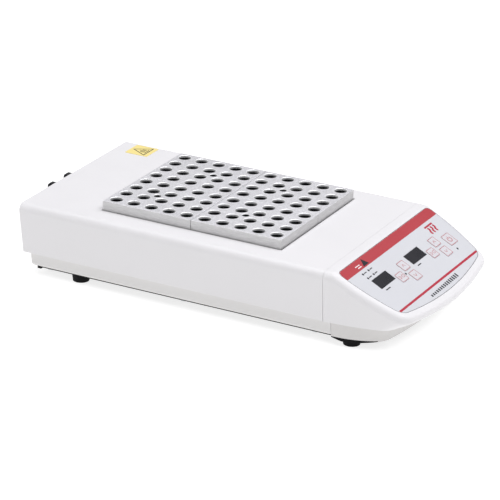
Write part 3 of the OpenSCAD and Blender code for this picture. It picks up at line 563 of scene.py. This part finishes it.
def build_cover():
    points = [(x, SEAM_Y, z) for x, z in cover_profile(0, SPLIT_H, 20, COVER_TOE)]
    for i in range(7):
        a = math.pi / 2 * i / 6
        t = REAR_EDGE_R * (1 - math.sin(a))
        for x, z in cover_profile(t, SPLIT_H, 20, COVER_TOE):
            y = rear_y(z, REAR_EDGE_R * (1 - math.cos(a)))
            points.append((x, y, max(z, SPLIT_H)))
    hollow = []
    for x, z in cover_profile(WALL, SPLIT_H - 1, 8):
        hollow += [(x, SEAM_Y - 1, z), (x, rear_y(z, WALL), z)]
    opening = []
    for grow, z0, z1 in ((0, 20, CASE_H - OPENING_BEVEL), (OPENING_BEVEL, CASE_H, CASE_H + 1)):
        x, y = OPENING_X + grow, OPENING_Y + grow
        opening += box_points(-x, x, BLOCK_Y - y, BLOCK_Y + y, z0, z1)
    cutters = [hull(hollow), hull(opening)]
    for x, z, w, h in REAR_HOLES:
        corners = box_points(x - w / 2, x + w / 2, -CUT_THROUGH, CUT_THROUGH, z - h / 2, z + h / 2)
        cutters.append(hull([REAR @ Vector(p) for p in corners]))
    x, z, r = JACK_HOLE
    jack = REAR @ Matrix.Translation((x, 0, z)) @ Matrix.Rotation(math.pi / 2, 4, "X")
    cutters.append(prism(circle(0, 0, r), jack, -CUT_THROUGH, CUT_THROUGH))
    shell = cut(hull(points), cutters)
    smooth(link(shell, "cover_shell", "cover_white", replaces=["top_cover"]))


def drill(x, y, r, depth, chamfer, steps):
    """Cutter for a blind hole with a small chamfer, down from the top of a block."""
    bore = r - BORE_GAP
    above = 0.5
    rings = [
        (bore + chamfer + above, BLOCK_Z1 + above),
        (bore, BLOCK_Z1 - chamfer),
        (bore, BLOCK_Z1 - depth),
        (TIP_R, BLOCK_Z1 - depth - r * TIP_SLOPE),
    ]
    bm = bmesh.new()
    loops = []
    for radius, z in rings:
        ring = circle(x, y, radius, steps)
        loops.append([bm.verts.new(Vector((px, py, z)) * MM) for px, py in ring])
    bm.faces.new(list(reversed(loops[0])))
    bm.faces.new(loops[-1])
    for low, high in zip(loops[1:], loops):
        for i in range(steps):
            bm.faces.new((low[i], high[i], high[(i + 1) % steps], low[(i + 1) % steps]))
    bmesh.ops.recalc_face_normals(bm, faces=bm.faces)
    return bm


def build_block(name, side_x, side_y, thermo_side):
    cx = side_x * BLOCK_STEP_X / 2
    cy = BLOCK_Y + side_y * BLOCK_STEP_Y / 2
    w, l, edge = BLOCK_W / 2, BLOCK_L / 2 - BLOCK_END_GAP, BLOCK_EDGE
    probe_y = cy + thermo_side * THERMO_Y
    body = hull(
        box_points(cx - w, cx + w, cy - l, cy + l, BLOCK_Z0 + edge, BLOCK_Z1 - edge)
        + box_points(cx - w + edge, cx + w - edge, cy - l + edge, cy + l - edge, BLOCK_Z0, BLOCK_Z1)
    )
    wells = []
    for i in range(TUBE_COLUMNS):
        for j in range(TUBE_ROWS):
            x = cx + (i - (TUBE_COLUMNS - 1) / 2) * TUBE_STEP_X
            y = cy + (j - (TUBE_ROWS - 1) / 2) * TUBE_STEP_Y
            wells.append(drill(x, y, TUBE_R, TUBE_DEEP, TUBE_CHAMFER, 40))
    wells.append(drill(cx, probe_y, THERMO_R, THERMO_DEEP, THERMO_CHAMFER, 28))
    obj = link(cut(body, [joined(wells)]), name + "_drilled", "block_aluminium", name + "_body",
               replaces=[name])
    mesh = obj.data
    # the bore walls take painted shade with depth and a painted highlight at the mouth
    for extra in ("block_bore_painted_light", "block_probe_bore_painted_light", "block_side_painted_shade"):
        mesh.materials.append(MATERIALS[extra])
    bore, probe_bore, side = 1, 2, 3
    for face in mesh.polygons:
        x, y, z = face.center / MM
        inside = abs(x - cx) < w - 1 and abs(y - cy) < l - 1 and z > BLOCK_Z0 + 1
        if inside and face.normal.z < 0.9:
            near_probe = math.hypot(x - cx, y - probe_y) < THERMO_R + 1
            face.material_index = probe_bore if near_probe else bore
        # the outer sides take the darker copy of the metal, which is painted shade
        elif abs(face.normal.z) < 0.5:
            face.material_index = side
    smooth(obj)


build_console()
build_cover()
for block, places in BLOCKS.items():
    build_block(block, *places)


# ---------------------------------------------------------------- printed marks, and the painted shade line round the label

# heights over the panel, or over the yellow label, in mm
PRINT_THICK, LABEL_PRINT_THICK = 0.04, 0.03
KEY_TOP = 0.3
GAP_LOW, GAP_HIGH = -0.4, -0.06

# the painted shade line in the gap round the label: how far outside, its width, and that of its
# left side, wider there as painted shadow
GAP_OUT, GAP_LINE, GAP_LEFT_LINE, GAP_LEFT_OF = 0.22, 0.2, 0.55, -79.5

# line widths, and the least cosine of half a corner's turn, which limits how far it sticks out
SHARPEST_MITRE = 0.35
FRAME_LINE, ARROW_LINE, START_LINE, STANDBY_LINE = 0.42, 0.45, 0.4, 0.75
HEAT_LINE, LABEL_LINE, LABEL_BAR = 2.4, 1.0, 1.3

# bars on the panel: middle, width and height
BAND_LOW, BAND_INSET = 13.5, 0.15
RULE = (0, -67.7, 170.5, 2.3)
HEAT_BAR = (69, -18.0, 16.5, 1.9)
HEAT_WAVES, HEAT_TOP, HEAT_FOOT, HEAT_SWING = (-5.4, 0.0, 5.4), -20.0, -27.4, 1.3
WINDOW_CAPTIONS = ((-65.5, -43.4, 9.0, 1.1), (2.0, -43.4, 7.0, 1.1))
CAUTION_BARS = ((-67.0, -8.2, 8.4, 0.9), (-66.0, -10.6, 6.4, 0.9))
CAUTION = [(-60.2, -12.2), (-49.6, -12.2), (-54.0, -4.2)]
LED_R, LED_CAPTION_AT, LED_CAPTION_W, LED_CAPTION_H = 1.25, 4.8, 5.0, 1.0

# the rising bars near the lip: how many, first x, step, foot, width, lowest and highest
BARS, BARS_X, BARS_STEP, BARS_FOOT, BARS_W, BARS_LOW, BARS_HIGH = 15, -29, 4.0, -76.2, 2.3, 2.6, 4.8

# the yellow label's middle and the height of its face
HOT_LABEL = (83.5, 167.5, 74.25)
HOT_TRIANGLE = [(0, 9.2), (-9.9, -7.6), (9.9, -7.6)]
HOT_BARS, HOT_BARS_FOOT, HOT_BARS_TOP = (-2.8, 0, 2.8), -4.0, 1.8
HOT_BASE = (0, -5.6, 9.4, 0.8)

# key marks about a key's middle; the ring is its centre, radius and two angles
KEY_FRAME_R = 0.9
ARROW = [(-2.3, -1.3), (0, 1.5), (2.3, -1.3)]
START = [(-3.2, -1.8), (-3.2, 1.8), (-0.4, 0)]
STOP = [(1.2, -1.5), (4.0, -1.5), (4.0, 1.5), (1.2, 1.5)]
STANDBY_RING = (0, -0.3, 2.9, 125, 415)
STANDBY_STEM = [(0, 0.4), (0, 3.6)]


def flat_piece(name, outlines, matrix, low, high, material, body):
    """Thin prisms between two heights over a face."""
    link(joined([prism(o, matrix, low, high) for o in outlines]), name, material, body)


def panel_print(name, outlines, material, low=0.0, body="housing"):
    """Print on the label or on a key."""
    flat_piece(name, outlines, PANEL, low, low + PRINT_THICK, material, body)


def strip(points, width, closed=False):
    """Quads that follow a line with mitred corners."""
    n = len(points)
    sides = []
    for i, (x, y) in enumerate(points):
        before = points[i - 1] if closed or i > 0 else None
        after = points[(i + 1) % n] if closed or i < n - 1 else None
        dirs = []
        for (ax, ay), (bx, by) in ((before or (x, y), (x, y)), ((x, y), after or (x, y))):
            length = math.hypot(bx - ax, by - ay)
            if length > 1e-6:
                dirs.append(((bx - ax) / length, (by - ay) / length))
        ux = sum(d[0] for d in dirs)
        uy = sum(d[1] for d in dirs)
        length = math.hypot(ux, uy)
        ux, uy = ux / length, uy / length
        reach = width / 2 / max(SHARPEST_MITRE, ux * dirs[0][0] + uy * dirs[0][1])
        sides.append(((x - uy * reach, y + ux * reach), (x + uy * reach, y - ux * reach)))
    ends = sides[1:] + sides[:1] if closed else sides[1:]
    return [[a[0], a[1], b[1], b[0]] for a, b in zip(sides, ends)]


def arc(cx, cy, r, start, end, steps=16):
    """An open arc between two angles in degrees."""
    return [on_arc((cx, cy), r, math.radians(start + (end - start) * i / steps))
            for i in range(steps + 1)]


def wave(x, y0, y1, swing, steps=12):
    return [(x + swing * math.sin(2 * math.pi * i / steps), y0 + (y1 - y0) * i / steps)
            for i in range(steps + 1)]


def rect(cx, cy, w, h):
    x, y = w / 2, h / 2
    return [(cx - x, cy - y), (cx + x, cy - y), (cx + x, cy + y), (cx - x, cy + y)]


def key_symbol(name):
    """Arrow, start and stop, or standby mark about the middle of a key."""
    if name.endswith("up"):
        return strip(ARROW, ARROW_LINE)
    if name.endswith("down"):
        return strip([(x, -y) for x, y in ARROW], ARROW_LINE)
    if name.endswith("start"):
        return strip(START, START_LINE, closed=True) + strip(STOP, START_LINE, closed=True)
    return strip(arc(*STANDBY_RING), STANDBY_LINE) + strip(STANDBY_STEM, STANDBY_LINE)


def print_panel():
    panel_print("print_band", [clip_below(overlay_outline(-BAND_INSET), -BAND_LOW)], "print_red")
    panel_print("print_rule", [rect(*RULE)], "print_crimson")
    heat_mark = []
    for dx in HEAT_WAVES:
        heat_mark += strip(wave(HEAT_BAR[0] + dx, HEAT_TOP, HEAT_FOOT, HEAT_SWING), HEAT_LINE)
    heat_mark.append(rect(*HEAT_BAR))
    panel_print("print_heat_mark", heat_mark, "print_crimson")

    dark = [circle(x, -s, LED_R, 20) for x, s in LEDS]
    for x, s in LEDS[:CAPTIONED_LEDS]:
        dark.append(rect(x + LED_CAPTION_AT, -s, LED_CAPTION_W, LED_CAPTION_H))
    for i in range(BARS):
        h = BARS_LOW + (BARS_HIGH - BARS_LOW) * i / (BARS - 1)
        dark.append(rect(BARS_X + BARS_STEP * i, BARS_FOOT + h / 2, BARS_W, h))
    dark += [rect(*bar) for bar in WINDOW_CAPTIONS]
    panel_print("print_marks", dark, "print_dark_and_gap_shade")
    panel_print("print_caution", [CAUTION], "print_dark_and_gap_shade", PRINT_THICK)
    bars = [rect(*bar) for bar in CAUTION_BARS]
    panel_print("print_caution_bars", bars, "print_white", PRINT_THICK)


def print_keys():
    for name, (x, s, w, h) in KEYS.items():
        border = round_rect(0, 0, w - 2 * FRAME_LINE, h - 2 * FRAME_LINE, KEY_FRAME_R)
        marks = strip(border, FRAME_LINE, closed=True) + key_symbol(name)
        marks = [[(x + dx, dy - s) for dx, dy in quad] for quad in marks]
        panel_print(f"print_{name}", marks, "print_red", KEY_TOP, name + "_body")


def build_label_gap():
    """The painted shade line in the gap round the label, wider down its left side as painted
    shadow.
    """
    lines = []
    edge = overlay_outline(GAP_OUT)
    for a, b in zip(edge, edge[1:] + edge[:1]):
        at_left = max(a[0], b[0]) < GAP_LEFT_OF
        lines += strip([a, b], GAP_LEFT_LINE if at_left else GAP_LINE)
    flat_piece("label_gap_painted_shade", lines, PANEL, GAP_LOW, GAP_HIGH, "print_dark_and_gap_shade", "housing")


def print_hot_label():
    marks = strip(HOT_TRIANGLE, LABEL_LINE, closed=True)
    for dx in HOT_BARS:
        marks += strip([(dx, HOT_BARS_FOOT), (dx, HOT_BARS_TOP - abs(dx) / 2)], LABEL_BAR)
    marks.append(rect(*HOT_BASE))
    flat_piece("print_hot_label", marks, Matrix.Translation(HOT_LABEL), 0.0, LABEL_PRINT_THICK,
               "print_dark_and_gap_shade", "housing")


print_panel()
print_keys()
build_label_gap()
print_hot_label()

# ---------------------------------------------------------------- CAD nodes that stay

# nodes given a darker copy of their slot's material as painted shade: the console's base under the
# lip
SHADED_COPY_OF = {"console_base": "console_grey"}
slot_of = {s["node"]: s["material_slot"] for s in frame["record"]["subparts"]}
for name, node in frame["nodes"].items():
    node.data.materials.clear()
    node.data.materials.append(MATERIALS[SHADED_COPY_OF.get(name, slot_of[name])])

# ---------------------------------------------------------------- floor, light and camera


def build_floor():
    bm = bmesh.new()
    bmesh.ops.create_grid(bm, x_segments=4, y_segments=4, size=6.0)
    floor = bpy.data.objects.new("floor", mesh_from(bm, "floor"))
    bpy.context.scene.collection.objects.link(floor)
    m, tree, shader = new_material("floor_paper")
    shader.inputs["Base Color"].default_value = (0.4, 0.4, 0.4, 1)
    tree.links.new(remap(tree, noise(tree, 40, 3), 0.8, 0.9), shader.inputs["Roughness"])
    shader.inputs["Specular IOR Level"].default_value = 0.2
    shader.inputs["Emission Color"].default_value = (1, 1, 1, 1)
    shader.inputs["Emission Strength"].default_value = 0.8
    floor.data.materials.append(m)


def area_light(name, where, target, size, power, colour=(1, 1, 1)):
    data = bpy.data.lights.new(name, "AREA")
    data.shape = "RECTANGLE"
    data.size, data.size_y = size
    data.energy = power
    data.color = colour
    light = bpy.data.objects.new(name, data)
    light.location = where
    light.rotation_euler = (Vector(target) - Vector(where)).to_track_quat("-Z", "Y").to_euler()
    bpy.context.scene.collection.objects.link(light)


build_floor()
area_light("light_top", (0.2, -0.6, 2.9), (0, 0, 0), (4.0, 4.0), 130, (0.975, 0.975, 1.0))
area_light("light_side", (-1.4, 2.4, 0.55), (0, 0, 0.08), (1.8, 0.5), 9)

world = bpy.data.worlds.new("studio")
world.use_nodes = True
background = world.node_tree.nodes["Background"]
background.inputs["Color"].default_value = (1, 1, 1, 1)
background.inputs["Strength"].default_value = 0.38
bpy.context.scene.world = world
bpy.context.scene.view_settings.view_transform = "Standard"

camera_data = bpy.data.cameras.new("camera")
camera_data.sensor_width = 36.0
camera_data.lens = 214.284
camera_data.shift_x, camera_data.shift_y = -0.001, 0.001
camera_data.clip_end = 50
camera = bpy.data.objects.new("camera", camera_data)
where = (-2.3478925, -1.2117223, 1.1105342)
right = (0.4676448, -0.8835291, 0.0261675)
up = (0.3229735, 0.1983544, 0.9253884)
back = (-0.822798, -0.4243016, 0.3781159)
turn = Matrix((right, up, back)).transposed().to_4x4()
camera.matrix_world = Matrix.Translation(where) @ turn
bpy.context.scene.collection.objects.link(camera)
bpy.context.scene.camera = camera
